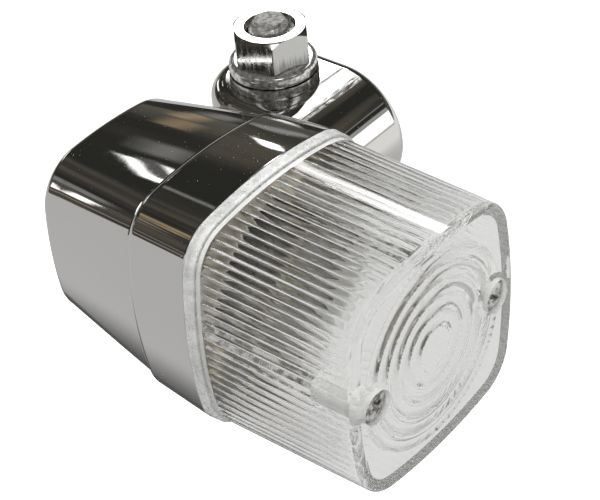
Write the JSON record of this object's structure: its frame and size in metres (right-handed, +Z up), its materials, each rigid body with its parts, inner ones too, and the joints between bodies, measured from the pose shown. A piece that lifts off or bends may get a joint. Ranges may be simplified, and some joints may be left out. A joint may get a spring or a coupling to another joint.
{
  "type": "vehicle indicator lamp",
  "caption": "Small square vehicle indicator lamp with a chromed cast body, a clear fluted lens and an upright threaded stud on a side foot.",
  "frame": {"origin": "on the axis of the mounting stud, on the top face of the foot", "axes": "+Z up along the stud, -Y the way the lens faces, +X from the body towards the foot"},
  "size_m": [0.0665, 0.0732, 0.0477],
  "materials": {
    "chrome_plate": "bright chrome with fine scratches",
    "steel": "turned, dulled",
    "bright_steel": "zinc plated, handled",
    "screw_steel": "zinc plated",
    "clear_lens": "clear moulded plastic",
    "rubber": "matte",
    "yellow_brass": "yellow passivated",
    "holder_brass": "dull",
    "cap_brass": "dull",
    "phenolic": "brown laminate",
    "black_glass": "gloss",
    "solder": "smooth",
    "spring_steel": "bright wire",
    "filament_wire": "dark wire",
    "bulb_glass": "clear"
  },
  "bodies": {
    "root": {"housing": "chrome_plate", "mounting_stud": "steel", "lock_washer": "bright_steel", "plain_washer": "bright_steel", "mounting_nut": "bright_steel", "lens": "clear_lens", "lens_gasket": "rubber", "lens_screws": "screw_steel", "carrier_plate": "yellow_brass", "plate_screws": "screw_steel", "holder_tube": "holder_brass", "holder_rivets": "holder_brass", "terminal_disc": "phenolic", "feed_terminal": "holder_brass", "contact_spring": "spring_steel", "plunger_disc": "phenolic", "contact_plunger": "holder_brass", "bulb_cap": "cap_brass", "bulb_pins": "cap_brass", "bulb_insulator": "black_glass", "bulb_contact": "solder", "bulb_glass": "bulb_glass", "bulb_stem": "bulb_glass", "bulb_leads": "spring_steel", "bulb_filament": "filament_wire", "cable_grommet": "rubber"}
  },
  "joints": []
}
